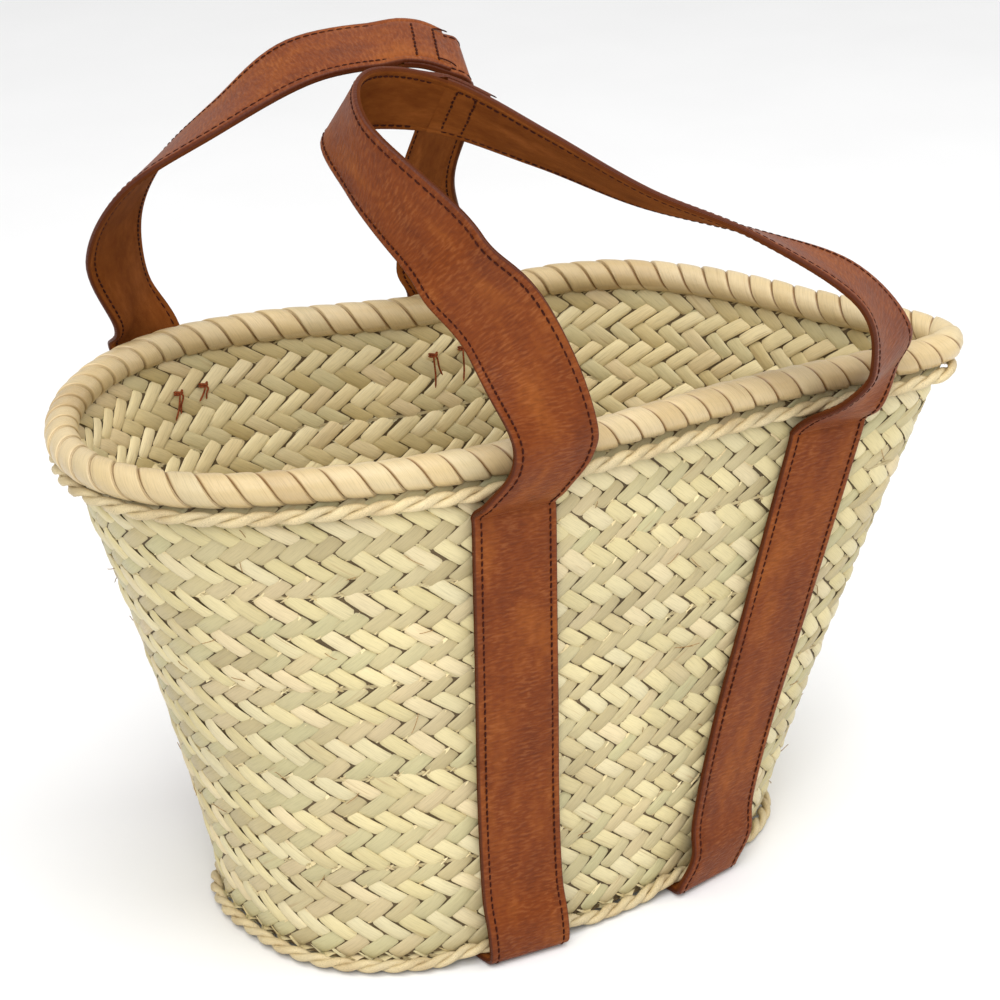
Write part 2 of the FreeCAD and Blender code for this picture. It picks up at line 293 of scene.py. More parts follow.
def noise(tree, vector, scale, detail=2.0, roughness=0.5):
    item = node(tree, "ShaderNodeTexNoise", {"Vector": vector, "Scale": scale,
                                            "Detail": detail, "Roughness": roughness})
    return item.outputs["Fac"]


def mapped(tree, vector, scale):
    item = node(tree, "ShaderNodeMapping", {"Vector": vector, "Scale": scale})
    return item.outputs["Vector"]


def mix(tree, factor, first, second, blend="MIX"):
    item = tree.nodes.new("ShaderNodeMix")
    item.data_type, item.blend_type = "RGBA", blend
    for key, value in (("Factor_Float", factor), ("A_Color", first), ("B_Color", second)):
        socket = next(s for s in item.inputs if s.identifier == key)
        if isinstance(value, bpy.types.NodeSocket):
            tree.links.new(value, socket)
        else:
            socket.default_value = (*value, 1) if isinstance(value, tuple) else value
    return next(s for s in item.outputs if s.identifier == "Result_Color")


def maths(tree, operation, first, second):
    return node(tree, "ShaderNodeMath", {0: first, 1: second}, operation=operation).outputs[0]


def bump(tree, principled, height, distance, strength=1.0):
    item = node(tree, "ShaderNodeBump", {"Height": height, "Distance": distance,
                                         "Strength": strength})
    tree.links.new(item.outputs["Normal"], principled.inputs["Normal"])


def leaf_material(name, stops, roughness, streak=0.35, stain=0.4, crevice_shade=False):
    """Dry leaf: a tint per leaf, fibre streaks along it, a few brown stripes.
    A band wound on the rim also gets painted shade where it goes under the next one."""
    material, tree, principled = shader(name, roughness, coat=0.08)
    leaf = node(tree, "ShaderNodeAttribute", attribute_name="leaf").outputs["Vector"]
    parts = node(tree, "ShaderNodeSeparateXYZ", {"Vector": leaf})
    tint = ramp(tree, parts.outputs["Z"], stops)
    spread = mapped(tree, leaf, (1.0, 0.035, 37.0))
    fibres = noise(tree, spread, 2.6, 4.0, 0.65)
    shade = ramp(tree, fibres, [(0.3, 1 - streak), (0.52, 1.0), (0.75, 1.0)])
    colour = mix(tree, 1.0, tint, shade, "MULTIPLY")
    wide = noise(tree, mapped(tree, leaf, (0.22, 0.012, 91.0)), 2.0, 2.0)
    stripe = ramp(tree, wide, [(0.66, 0.0), (0.74, stain)])
    colour = mix(tree, stripe, colour, (0.36, 0.22, 0.09))
    place = node(tree, "ShaderNodeTexCoord").outputs["Object"]
    patches = ramp(tree, noise(tree, place, 14.0, 3.0), [(0.35, 0.86), (0.65, 1.04)])
    colour = mix(tree, 1.0, colour, patches, "MULTIPLY")
    if crevice_shade:
        # painted shade along a band's edges, where it goes under the next band
        side = maths(tree, "DIVIDE", parts.outputs["X"], BAND_SHADE)
        crevice_shade_mask = ramp(tree, side, [(0.0, 1.0), (0.05, 0.75), (0.09, 0.0), (0.95, 0.0), (0.99, 0.8)])
        colour = mix(tree, crevice_shade_mask, colour, (0.22, 0.11, 0.035))
    tree.links.new(colour, principled.inputs["Base Color"])
    bump(tree, principled, fibres, 0.0006, 0.55)
    return material


def leather_material():
    """Waxed cognac leather: mottled, painted shade in creases, golden crests of rubbing wear and
    painted highlight, dark edges.
    """
    material, tree, principled = shader("saddle_leather", 0.42, gloss=0.18)
    strap = node(tree, "ShaderNodeAttribute", attribute_name="leaf").outputs["Vector"]
    parts = node(tree, "ShaderNodeSeparateXYZ", {"Vector": strap})
    cloud = noise(tree, mapped(tree, strap, (0.03, 0.014, 3.1)), 1.6, 4.0, 0.6)
    colour = ramp(tree, cloud, [(0.25, (0.110, 0.020, 0.0010)), (0.5, (0.160, 0.032, 0.0020)),
                                (0.72, (0.230, 0.058, 0.0060))])
    bent = noise(tree, mapped(tree, strap, (0.12, 0.12, 5.0)), 1.0, 2.0)
    offset = mix(tree, 0.12, strap, bent, "ADD")
    wrinkles = noise(tree, mapped(tree, offset, (0.20, 0.75, 5.0)), 1.0, 3.0, 0.5)
    # painted shade in the wrinkle valleys
    valley_shade = ramp(tree, wrinkles, [(0.34, 0.84), (0.48, 1.0)])
    colour = mix(tree, 1.0, colour, valley_shade, "MULTIPLY")
    rubbed = ramp(tree, noise(tree, mapped(tree, strap, (0.045, 0.02, 7.0)), 2.0),
                  [(0.30, 0.04), (0.70, 0.26)])
    # golden crests: painted highlight, in the patches of rubbed wear
    crest_highlight = ramp(tree, wrinkles, [(0.50, 0.0), (0.64, 1.0)])
    light = maths(tree, "MULTIPLY", crest_highlight, rubbed)
    colour = mix(tree, light, colour, (0.40, 0.145, 0.042))
    across = maths(tree, "ABSOLUTE", parts.outputs["X"], 0.0)
    edge = ramp(tree, maths(tree, "DIVIDE", across, STRAP_SHADE), [(0.925, 0.0), (0.955, 0.85)])
    colour = mix(tree, edge, colour, (0.060, 0.012, 0.004))
    tree.links.new(colour, principled.inputs["Base Color"])
    gloss = ramp(tree, cloud, [(0.3, 0.38), (0.7, 0.52)])
    tree.links.new(gloss, principled.inputs["Roughness"])
    bump(tree, principled, wrinkles, 0.0009, 0.6)
    return material


def suede_material():
    """Matte suede lining: short nap in patches, a painted dark edge."""
    material, tree, principled = shader("suede_lining", 0.92, gloss=0.06)
    strap = node(tree, "ShaderNodeAttribute", attribute_name="leaf").outputs["Vector"]
    parts = node(tree, "ShaderNodeSeparateXYZ", {"Vector": strap})
    nap = noise(tree, mapped(tree, strap, (0.05, 0.02, 3.3)), 1.5, 5.0, 0.7)
    colour = ramp(tree, nap, [(0.3, (0.155, 0.040, 0.006)), (0.55, (0.240, 0.070, 0.013)),
                              (0.75, (0.330, 0.105, 0.024))])
    fine = noise(tree, mapped(tree, strap, (1.0, 1.0, 5.0)), 3.5, 3.0, 0.7)
    colour = mix(tree, 1.0, colour, ramp(tree, fine, [(0.3, 0.72), (0.65, 1.08)]), "MULTIPLY")
    across = maths(tree, "ABSOLUTE", parts.outputs["X"], 0.0)
    edge = ramp(tree, maths(tree, "DIVIDE", across, STRAP_SHADE), [(0.93, 0.0), (0.958, 0.8)])
    colour = mix(tree, edge, colour, (0.055, 0.012, 0.004))
    tree.links.new(colour, principled.inputs["Base Color"])
    bump(tree, principled, fine, 0.0005, 0.6)
    return material


def thread_material(name, dark, light):
    """Waxed twisted thread."""
    material, tree, principled = shader(name, 0.7, gloss=0.1)
    place = node(tree, "ShaderNodeTexCoord").outputs["Object"]
    twist = noise(tree, place, 900.0, 2.0)
    colour = ramp(tree, twist, [(0.35, dark), (0.65, light)])
    tree.links.new(colour, principled.inputs["Base Color"])
    bump(tree, principled, twist, 0.0003, 0.6)
    return material


def floor_material():
    material, tree, principled = shader("studio_floor", 0.7)
    place = node(tree, "ShaderNodeTexCoord").outputs["Object"]
    grain = ramp(tree, noise(tree, place, 6.0), [(0.3, 0.86), (0.7, 0.88)])
    tree.links.new(grain, principled.inputs["Base Color"])
    return material


# Tints below 0.5 are the flatter rising leaves, above it the domed falling ones.
# The falling leaves' tints are lighter and the rising ones' darker: painted light and shade for
# how each lean meets the light.
OUTER_TINTS = [(0.0, (0.42, 0.34, 0.17)), (0.16, (0.51, 0.42, 0.22)),
               (0.32, (0.49, 0.44, 0.23)), (0.47, (0.54, 0.43, 0.24)),
               (0.55, (0.59, 0.50, 0.25)), (0.72, (0.68, 0.58, 0.31)),
               (0.88, (0.65, 0.57, 0.34)), (1.0, (0.70, 0.57, 0.33))]
# The inside leaves are tinted lighter than the outside ones: painted light for the inside of the
# basket, which the lamps light less.
INNER_TINTS_WITH_PAINTED_LIGHT = [(0.0, (0.50, 0.39, 0.17)), (0.16, (0.62, 0.50, 0.25)),
               (0.32, (0.60, 0.52, 0.28)), (0.47, (0.68, 0.54, 0.30)),
               (0.60, (0.74, 0.60, 0.32)), (0.85, (0.80, 0.68, 0.38)),
               (1.0, (0.84, 0.71, 0.42))]
RIM_TINTS = [(0.0, (0.54, 0.39, 0.19)), (0.4, (0.62, 0.47, 0.24)),
             (0.75, (0.67, 0.52, 0.29)), (1.0, (0.59, 0.47, 0.26))]
CORD_TINTS = [(0.0, (0.58, 0.44, 0.23)), (0.5, (0.72, 0.58, 0.32)),
              (1.0, (0.65, 0.53, 0.31))]
outer_leaf = leaf_material("plaited_palm_leaf", OUTER_TINTS, 0.46, streak=0.2)
inner_leaf = leaf_material("plaited_palm_leaf_inside", INNER_TINTS_WITH_PAINTED_LIGHT, 0.60, streak=0.22)
rim_leaf = leaf_material("rim_leaf", RIM_TINTS, 0.32, streak=0.22, stain=0.3, crevice_shade=True)
cord_leaf = leaf_material("twisted_leaf_cord", CORD_TINTS, 0.5, streak=0.45)
# a dark sheet behind the leaves: painted shade for the gaps between them
gap_shadow_sheet = leaf_material("painted_gap_shadow", [(0.0, (0.10, 0.065, 0.025)), (1.0, (0.15, 0.10, 0.04))],
                             0.8)
leather = leather_material()
suede = suede_material()
brown_thread = thread_material("brown_thread", (0.022, 0.004, 0.002), (0.055, 0.010, 0.004))
red_thread = thread_material("red_brown_thread", (0.13, 0.028, 0.010), (0.30, 0.075, 0.025))
fibre = thread_material("dry_fibre", (0.20, 0.11, 0.04), (0.42, 0.27, 0.12))


# ------------------------------------------------------------------------ the plait
ROWS_PER_COURSE = 5
LEAF_PITCH = 14.6
ROW_VARIATION = 0.10
RISING, FALLING = 1, -1     # which way a leaf leans, seen from outside
LEAF_WIDTH = {RISING: 1.0, FALLING: 0.95}       # as a share of the pitch
LEAF_THICKNESS = {RISING: 1.25, FALLING: 1.75}  # mm
LEAF_START, LEAF_SHADE = 0.7, 9.0   # mm from the wall's middle; shader mm per width
# place along the leaf in leaf widths, and how far it dips there to pass under
# the leaves that cross it
ALONG = np.array([(-1.2, -2.0), (-1.02, -1.15), (-0.84, -0.4), (-0.35, 0.15),
                  (0.35, 0.15), (0.84, -0.4), (1.02, -1.15), (1.2, -2.0)])
# place across the leaf in half widths, and share of its thickness
ACROSS = np.array([(-1.0, 0.22), (-0.86, 0.66), (-0.5, 0.92), (0.0, 1.0), (0.5, 0.92),
                   (0.86, 0.66), (1.0, 0.22), (0.6, 0.0), (-0.6, 0.0)])


def leaf_row(surface, middle, height, count, lean, face, rng):
    """One row of leaves, each passing over two and under two of those that cross it.
    surface(u, v, off) gives points; face is 1 outside and -1 inside."""
    jitter = rng.normal(size=(count, 7))[:, :, None, None]
    start = rng.random(count)[:, None, None] * 400
    half_step = 0.0 if lean == FALLING else 0.5
    a, share = ACROSS[None, None, :, 0], ACROSS[None, None, :, 1]
    along, dip = ALONG[None, :, None, 0], ALONG[None, :, None, 1]
    along = along * (1 + 0.03 * jitter[:, 0])
    wide = a * 0.5 * LEAF_WIDTH[lean] * (1 + 0.04 * jitter[:, 1])
    wide = wide + 0.03 * jitter[:, 2] + 0.025 * jitter[:, 3] * along
    step = np.arange(count)[:, None, None] + half_step
    u = (step + (along + wide) / 2) / count
    v = middle + lean * (along - wide) * height / 2
    thick = LEAF_THICKNESS[lean] * (1 + 0.08 * jitter[:, 4])
    tilt = 0.2 * jitter[:, 6] * a
    off = LEAF_START + 0.13 * jitter[:, 5] + dip + share * thick + tilt + 0 * u
    # falling leaves take the lighter upper half of the tints: painted light for their lean
    tint = rng.random(count)[:, None, None] * 0.5 + (0.5 - half_step)
    leaf = np.stack([wide * LEAF_SHADE + 0 * u, along * LEAF_SHADE + start + 0 * u,
                     tint + 0 * u], -1)
    return surface(u, v, off * face), leaf


def leaf_part(points, leaf, number):
    """A row of leaves as one part for joined()."""
    vertices, faces = strips(points)
    return vertices, faces, leaf, number


def course_backing(low, high):
    """A dark sheet between a course's outside and inside leaves: painted shade that shows in the
    gaps between them.
    """
    count, levels = 240, 9
    u = (np.arange(count) / count)[None, :, None]
    z = np.linspace(low, high, levels)
    z = np.concatenate([z, z[::-1]])[None, None, :]
    off = np.where(np.arange(2 * levels) < levels, LEAF_START, -LEAF_START)[None, None, :]
    vertices, faces = loops(wall_surface(u, z, off))
    leaf = np.zeros_like(vertices)
    leaf[:, 1] = np.repeat(np.arange(count), 2 * levels)
    return vertices, faces, leaf, 2


def add_courses():
    """Five turns of plait, each with its leaves outside and inside."""
    rng = np.random.default_rng(11)
    course_height = (WALL_TOP - FLOOR_TOP) / COURSES
    row = 0
    for number in range(1, COURSES + 1):
        bottom = FLOOR_TOP + (number - 1) * course_height
        count = round(loop_length(bottom + course_height / 2) / LEAF_PITCH)
        heights = 1 + ROW_VARIATION * rng.uniform(-1, 1, ROWS_PER_COURSE)
        heights *= course_height / heights.sum()
        parts, low = [], bottom
        for height in heights:
            lean = FALLING if row % 2 else RISING
            middle = low + height / 2
            for face, material in ((1, 0), (-1, 1)):
                leaves = leaf_row(wall_surface, middle, height, count, lean, face, rng)
                parts.append(leaf_part(*leaves, material))
            low += height
            row += 1
        parts.append(course_backing(bottom - 0.2, bottom + course_height + 0.2))
        points, faces, which, leaf = joined(parts)
        plait = add_mesh(f"course_{number}_plait", points, faces,
                         [outer_leaf, inner_leaf, gap_shadow_sheet], which, leaf)
        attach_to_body(plait, "basket")
        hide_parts(f"wall_course_{number}")


BASE_ROWS = 10
# the sag's reach in x and y, its flat share of that, and where it has ended
SAG_X, SAG_Y, SAG_FLAT, SAG_END = 34, 82, 0.77, 1.15
SAG_LEVEL, SAG_DEPTH = 2.7, 4.0


def base_plan(u, inward):
    """A point of the base in plan, so far in from its edge; its spine is a line."""
    edge = around(BASE_LOOP, u)
    spine = edge * np.array([1 - BASE_HALF_WIDTH / BASE_HALF_LENGTH, 0.0])
    share = (1 - np.asarray(inward) / BASE_HALF_WIDTH)[..., None]
    return spine + (edge - spine) * share


def base_middle(plan):
    """The base's middle level: it sags to the floor between the straps."""
    reach = np.sqrt((plan[..., 0] / SAG_X) ** 2 + (plan[..., 1] / SAG_Y) ** 2)
    rise = np.clip((reach - SAG_FLAT) / (SAG_END - SAG_FLAT), 0, 1)
    return SAG_LEVEL + SAG_DEPTH * eased(rise)


def base_surface(u, inward, off):
    """Points that stand `off` above the base's middle, so far in from its edge."""
    u, inward, off = np.broadcast_arrays(u, inward, off)
    plan = base_plan(u, inward)
    return np.concatenate([plan, (base_middle(plan) + off)[..., None]], -1)


def add_base():
    """Rings of plait over and under a thin dark sheet, painted shade that shows in the gaps
    between leaves.
    """
    rng = np.random.default_rng(23)
    height = (BASE_HALF_WIDTH - 1) / BASE_ROWS
    parts = []
    for row in range(BASE_ROWS):
        low = row * height
        edge = base_plan(np.arange(FINE) / FINE, np.full(FINE, low + height / 2))
        length = np.linalg.norm(np.roll(edge, -1, 0) - edge, axis=1).sum()
        lean = FALLING if row % 2 else RISING
        for face, number in ((1, 1), (-1, 0)):
            count = max(6, round(length / LEAF_PITCH))
            ring = leaf_row(base_surface, low + height / 2, height, count, lean, face, rng)
            parts.append(leaf_part(*ring, number))
    count, steps = 120, 12
    u = (np.arange(count) / count)[None, :, None]
    inward = np.linspace(0, BASE_HALF_WIDTH - 2, steps)
    inward = np.concatenate([inward, inward[::-1]])[None, None, :]
    off = np.where(np.arange(2 * steps) < steps, 0.9, -0.9)[None, None, :]
    vertices, faces = loops(base_surface(u, inward, off))
    parts.append((vertices, faces, vertices * 0.5, 2))
    points, faces, which, leaf = joined(parts)
    leaf[:, 2] = np.clip(leaf[:, 2], 0, 1)
    plait = add_mesh("base_plait_leaves", points, faces,
                     [outer_leaf, inner_leaf, gap_shadow_sheet], which, leaf)
    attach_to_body(plait, "basket")
    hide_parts("base_plait")


# -------------------------------------------------------------------- rim and cords
BANDS = 80
BAND_TURN = 2      # a band moves on by this many pitches in one turn round the roll
# place across a band, and how far it stands proud of the roll, in mm
BAND_PROFILE = np.array([(0.0, -1.3), (0.035, -0.6), (0.12, -0.05), (0.33, 0.3), (0.6, 0.5),
                         (0.82, 0.6), (0.93, 0.42), (0.98, -0.3)])


def add_rim_wrap():
    """Leaf bands wound round the rim, each lapping over the next."""
    rng = np.random.default_rng(5)
    sides, samples = 44, len(BAND_PROFILE)
    total = BANDS * samples
    i, j = np.arange(total), np.arange(sides)
    band, place = i // samples, BAND_PROFILE[i % samples, 0]
    turned = j[None, :] / sides
    wobble = rng.normal(size=BANDS)[band][:, None]
    u = ((band + place)[:, None] - BAND_TURN * turned) / BANDS
    angle = 2 * math.pi * turned - math.radians(150)
    lift = BAND_PROFILE[i % samples, 1][:, None]
    fade = np.sin(math.pi * np.minimum(1, np.minimum(turned, 1 - turned) * 12) / 2)
    radius = ROLL_RADIUS - 0.1 + lift + 0.12 * wobble * fade
    points = ring_surface(u, RIM_LEVEL, radius * np.cos(angle),
                          RIM_LEVEL + radius * np.sin(angle))
    vertices, faces = loops(points[None], BAND_TURN * samples)
    tint = rng.random(BANDS)[band][:, None] + 0 * turned
    start = (rng.random(BANDS) * 500)[band][:, None]
    leaf = np.stack([(place * BAND_SHADE)[:, None] + 0 * turned, turned * 54 + start, tint], -1)
    roll = add_mesh("rim_bands", vertices, faces, [rim_leaf], leaf=leaf.reshape(-1, 3), sharp=35)
    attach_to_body(roll, "basket")
    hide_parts("rim_wrap")


HOLD_REACH, HOLD_FADE = 48, 20     # mm from a strap's middle along x


def cord_level(u, z, drop):
    """A cord's level: between the straps it hangs lower by `drop`."""
    plan = wall_plan(u, np.full(u.shape, float(z)))
    held = np.zeros(u.shape)
    for corner, x in BASE_X.items():
        side = -1 if corner.startswith("front") else 1
        near = np.clip((HOLD_REACH - np.abs(plan[..., 0] - x)) / HOLD_FADE, 0, 1)
        held = np.maximum(held, np.where(plan[..., 1] * side > 0, near, 0))
    return z - drop * (1 - eased(held))


def add_twist(name, node_name, z, out, drop, radius, turns, seed):
    """A cord of two leaf strands twisted round each other, all round the basket."""
    rng = np.random.default_rng(seed)
    per_turn, sides = 18, 10
    total = turns * per_turn
    u = (np.arange(total) / total)[:, None]
    wave = 1 + 0.05 * np.interp(np.arange(total), np.arange(0, total, 9),
                                rng.normal(size=len(range(0, total, 9))))[:, None]
    around_strand = 2 * math.pi * np.arange(sides)[None, :] / sides
    rings, leaf = [], []
    for strand in (0, 1):
        turn = 2 * math.pi * turns * u + math.pi * strand
        reach = 0.44 * radius * wave
        wide, flat = 0.62 * radius * wave, 0.50 * radius
        crumple = 1 + 0.06 * np.sin(3 * around_strand + 5.3 * turn)
        along_out = reach + flat * np.cos(around_strand) * crumple
        along_side = wide * np.sin(around_strand) * crumple
        level = along_out * np.cos(turn) - along_side * np.sin(turn)
        up = along_out * np.sin(turn) + along_side * np.cos(turn)
        rings.append(ring_surface(u, z, out + level, cord_level(u, z, drop) + up))
        tint = np.interp(u * 23 % 1, [0, 0.4, 0.7, 1], [0.1, 0.9, 0.4, 0.1]) + 0 * around_strand
        place = around_strand * 1.6 + 0 * u
        leaf.append(np.stack([place, u * 1200 + 700 * strand + 0 * around_strand, tint], -1))
    vertices, faces = loops(np.array(rings))
    cord = add_mesh(name, vertices, faces, [cord_leaf], leaf=np.array(leaf).reshape(-1, 3))
    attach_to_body(cord, "basket")
    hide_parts(node_name)


def add_stray_fibres():
    """Short brown fibres that stick out between the leaves."""
    rng = np.random.default_rng(31)
    parts = []
    for _ in range(90):
        u, z = rng.random(), 20 + 245 * rng.random()
        turn, length = rng.normal() * 0.9, 5 + 8 * rng.random()
        rise = math.sin(turn) * length
        drift = math.cos(turn) * length / loop_length(z) * (1 if rng.random() < 0.5 else -1)
        stations = [wall_surface(u, z, 1.6), wall_surface(u + drift * 0.4, z + rise * 0.45, 3.2),
                    wall_surface(u + drift * 0.8, z + rise * 0.8, 3.6 + rng.random()),
                    wall_surface(u + drift, z + rise * 0.9, 3.9 + rng.random() * 1.5)]
        vertices, faces = strips(tube(arc_path(stations, 8), 0.22, 5))
        parts.append((vertices, faces, vertices * 0, 0))
    points, faces, which, leaf = joined(parts)
    tufts = add_mesh("stray_fibres", points, faces, [fibre], which, leaf)
    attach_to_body(tufts, "basket")


# ----------------------------------------------------------------------- the leather
BASE_X = {"front_left": -57, "front_right": 70, "back_left": -66, "back_right": 62}
TACK_X = {"front_left": -57, "front_right": 147, "back_left": -114, "back_right": 50}
# height, and how far a strap's middle stands off the wall's there
STANDOFF = [(22, 13.4), (42, 8), (90, 5.6), (150, 5.6), (205, 5.6), (251, 5.6), (259, 5.6)]
# how much further off each strap stands where it bridges a hollow of the wall
BRIDGING = {"front_left": 0, "front_right": 0.3, "back_left": 0.3, "back_right": 2.2}
# Stations of each handle, as in the CAD: the strap's middle and the direction of
# its right-hand edge, seen from the grain side with the strap running away.
HANDLES = {
    "front": [
        ((-57, -114.5, 269), (1, -0.08, 0)),
        ((-47, -123, 288), (1, -0.06, 0)),
        ((-49, -124, 311), (0.97, -0.2, 0.03)),
        ((-67, -110, 362), (0.65, -0.47, 0.6)),
        ((-86, -99, 388), (0.42, -0.62, 0.66)),
        ((-91, -85, 403), (0.32, -0.63, 0.71)),
        ((-108, -45, 438), (-0.04, -0.42, 0.91)),
        ((-87, -2, 453), (0.19, -0.57, 0.80)),
        ((-34, -4, 444), (-0.15, -0.67, 0.73)),
        ((8, -38, 421), (-0.33, -0.75, 0.57)),
        ((48, -73, 396), (-0.44, -0.79, 0.42)),
        ((92, -108, 377), (-0.53, -0.82, 0.24)),
        ((136, -139, 349), (-0.55, -0.82, -0.17)),
        ((159, -143, 310), (-0.86, -0.42, -0.26)),
        ((155, -133, 287), (-0.94, -0.25, -0.2)),
        ((148, -121, 269), (-1, 0.1, 0)),
    ],
    "back": [
        ((-116, 163, 269), (-0.985, -0.17, 0)),
        ((-120, 167, 288), (-0.98, -0.15, -0.05)),
        ((-131, 158, 312), (-0.72, -0.58, -0.36)),
        ((-149, 140, 357), (-0.88, -0.33, -0.35)),
        ((-148, 106, 400), (-0.84, -0.53, -0.15)),
        ((-121, 74, 434), (-0.51, -0.86, -0.06)),
        ((-77, 58, 461), (-0.22, -0.96, -0.18)),
        ((-24, 45, 464), (-0.46, -0.87, -0.2)),
        ((-4, 33, 458), (-0.45, -0.87, -0.18)),
        ((6, 31, 449), (-0.4, -0.9, -0.17)),
        ((3, 46, 415), (0, -0.97, 0.2)),
        ((11, 76, 372), (0.1, -0.97, 0.2)),
        ((41, 112, 317), (0.55, -0.83, 0.06)),
        ((55, 130, 288), (0.97, 0.1, -0.1)),
        ((52, 128, 269), (1, -0.06, 0)),
    ],
}
CROWN = {"front": 8, "back": 7}     # the station where the two halves meet
# how far in and how high a strap's middle is where it bends under the base
FOOT_BEND = [(8.0, 2.1), (2.6, 2.9), (0.2, 7.0)]
LEATHER = 2.0      # thickness of one layer
LAP = 24           # how far one half's end lies over the other's at the crown


def wall_at(x, z, side):
    """The wall's middle and its unit tangent at this x, on the front or back."""
    loop = wall_plan(np.arange(FINE) / FINE, np.full(FINE, float(z)))
    loop = loop[loop[:, 1] * side > 0]
    loop = loop[np.argsort(loop[:, 0])]
    y = np.interp([x - STRAP_HALF_WIDTH, x, x + STRAP_HALF_WIDTH], loop[:, 0], loop[:, 1])
    tangent = np.array([2.0 * STRAP_HALF_WIDTH, y[2] - y[0], 0.0])
    return np.array([x, y[1], z], float), tangent / np.linalg.norm(tangent)


def outward(tangent, side):
    """The level direction away from the wall on the front (-1) or back (1)."""
    return np.array([-tangent[1], tangent[0], 0.0]) * side


def wall_stations(corner):
    """Stations of one strap from the floor up to its tack under the rim."""
    side = -1 if corner.startswith("front") else 1
    low_x, high_x = BASE_X[corner], TACK_X[corner]
    stations = []
    for z, off in STANDOFF:
        middle, tangent = wall_at(low_x + (high_x - low_x) * z / TACK_HEIGHT, z, side)
        off += BRIDGING[corner] * min(1, z / 150)
        stations.append((middle + outward(tangent, side) * off, tangent * -side))
    y, across = stations[0][0][1], stations[0][1]
    under = [(np.array([low_x, y - side * inward, z]), across) for inward, z in FOOT_BEND]
    return under + stations


class Ribbon:
    """A strap's path: its middle, width direction and outward normal."""

    def __init__(self, middle, across):
        self.middle = middle
        self.across = across / np.linalg.norm(across, axis=1, keepdims=True)
        along = np.gradient(middle, axis=0)
        along /= np.linalg.norm(along, axis=1, keepdims=True)
        normal = np.cross(self.across, along)
        self.normal = normal / np.linalg.norm(normal, axis=1, keepdims=True)
        steps = np.linalg.norm(np.diff(middle, axis=0), axis=1)
        self.place = np.concatenate([[0], np.cumsum(steps)])

    def at(self, place, wide, proud):
        """Points at these distances along, across and out from the middle."""
        def value(table):
            return np.stack([np.interp(place, self.place, table[:, k]) for k in range(3)], -1)
        return (value(self.middle) + value(self.across) * np.asarray(wide)[..., None]
                + value(self.normal) * np.asarray(proud)[..., None])

    def length(self):
        return self.place[-1]


def ribbon_through(stations, beyond, steps=10):
    """A smooth ribbon through stations; `beyond` is the one past its last."""
    chain = [np.concatenate([np.array(m, float), np.array(a, float)])
             for m, a in [*stations, beyond]]
    count = len(stations)
    t = np.arange((count - 1) * steps + 1) / steps
    i = np.minimum(np.floor(t).astype(int), count - 2)
    path = through(np.array([chain[0]] + chain), i, (t - i)[:, None])
    return Ribbon(path[:, :3], path[:, 3:])


# Half of a layer's section: place across, and height over the glue line.
HALF_SECTION = [(24.0, 0.05), (24.1, 0.75), (23.95, 1.35), (23.5, 1.8), (22.6, 1.95),
                (21.0, 1.95), (20.45, 1.78), (20.0, 1.62), (19.55, 1.78), (19.0, 1.95),
                (15.0, 1.97), (8.0, 2.0)]
SECTION = np.array([(0.0, 0.05)] + HALF_SECTION + [(0.0, 2.0)]
                   + [(-w, n) for w, n in HALF_SECTION[::-1]])


def layer_points(ribbon, face, lap=False):
    """A closed leather layer along a ribbon; face is 1 for grain, -1 for lining."""
    place = ribbon.place[:, None]
    wide = SECTION[None, :, 0] + 0 * place
    proud = SECTION[None, :, 1] + 0 * place
    if lap:
        crown = ribbon.length() - LAP
        before = np.clip((place - crown + 16) / 15, 0, 1)
        rise = LEATHER * eased(before)
        share = np.where(place > crown, 1.0, SECTION[None, :, 1] / 2)
        proud = proud + rise * share
    ripple = 0.22 * np.sin(place * 0.047 + wide * 0.05) * np.sin(place * 0.013)
    points = ribbon.at(place + 0 * wide, wide, face * proud + ripple)
    leaf = np.stack([wide, place + 0 * wide, 0.5 + 0 * wide], -1)
    return points, leaf


def add_layer(name, ribbon, face, blend_to=None, replaced=(), seed=0, lap=False):
    """One leather or suede layer; the seed only shifts its grain."""
    points, leaf = layer_points(ribbon, face, lap)
    vertices, faces = strips(points[None])
    leaf[..., 1] += 900 * seed
    material = leather if face > 0 else suede
    layer = add_mesh(name, vertices, faces, [material], leaf=leaf.reshape(-1, 3), sharp=60)
    attach(layer, blend_to)
    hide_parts(*replaced)


def attach(piece, side):
    """Rides on the basket, or else keeps its place with its transform baked in."""
    if side is None:
        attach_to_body(piece, "basket")
    else:
        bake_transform(piece)


STITCH_PITCH, STITCH_LENGTH, STITCH_RADIUS = 4.2, 3.1, 0.62
CROSS_REACH = 18.0     # how far a row across the strap goes to each side
# place along a stitch in half lengths, and share of its radius
STITCH_RINGS = np.array([(-1.0, 0.3), (-0.72, 0.85), (0.0, 1.0), (0.72, 0.85), (1.0, 0.3)])


def stitch_row(ribbon, wide, proud, start, end, rng):
    """A row of stitches along a ribbon; wide and proud place the row."""
    centre = np.arange(start + STITCH_PITCH, end - STITCH_PITCH / 2, STITCH_PITCH)
    centre = (centre + rng.normal(size=centre.size) * 0.12)[:, None, None]
    a = (2 * math.pi * np.arange(6) / 6)[None, None, :]
    size = STITCH_RADIUS * STITCH_RINGS[None, :, None, 1]
    place = centre + STITCH_LENGTH / 2 * STITCH_RINGS[None, :, None, 0] + 0 * a
    slant = 0.12 * STITCH_RINGS[None, :, None, 0]
    return ribbon.at(place, wide + slant + size * np.cos(a) + 0 * place,
                     proud + size * np.sin(a) + 0 * place)


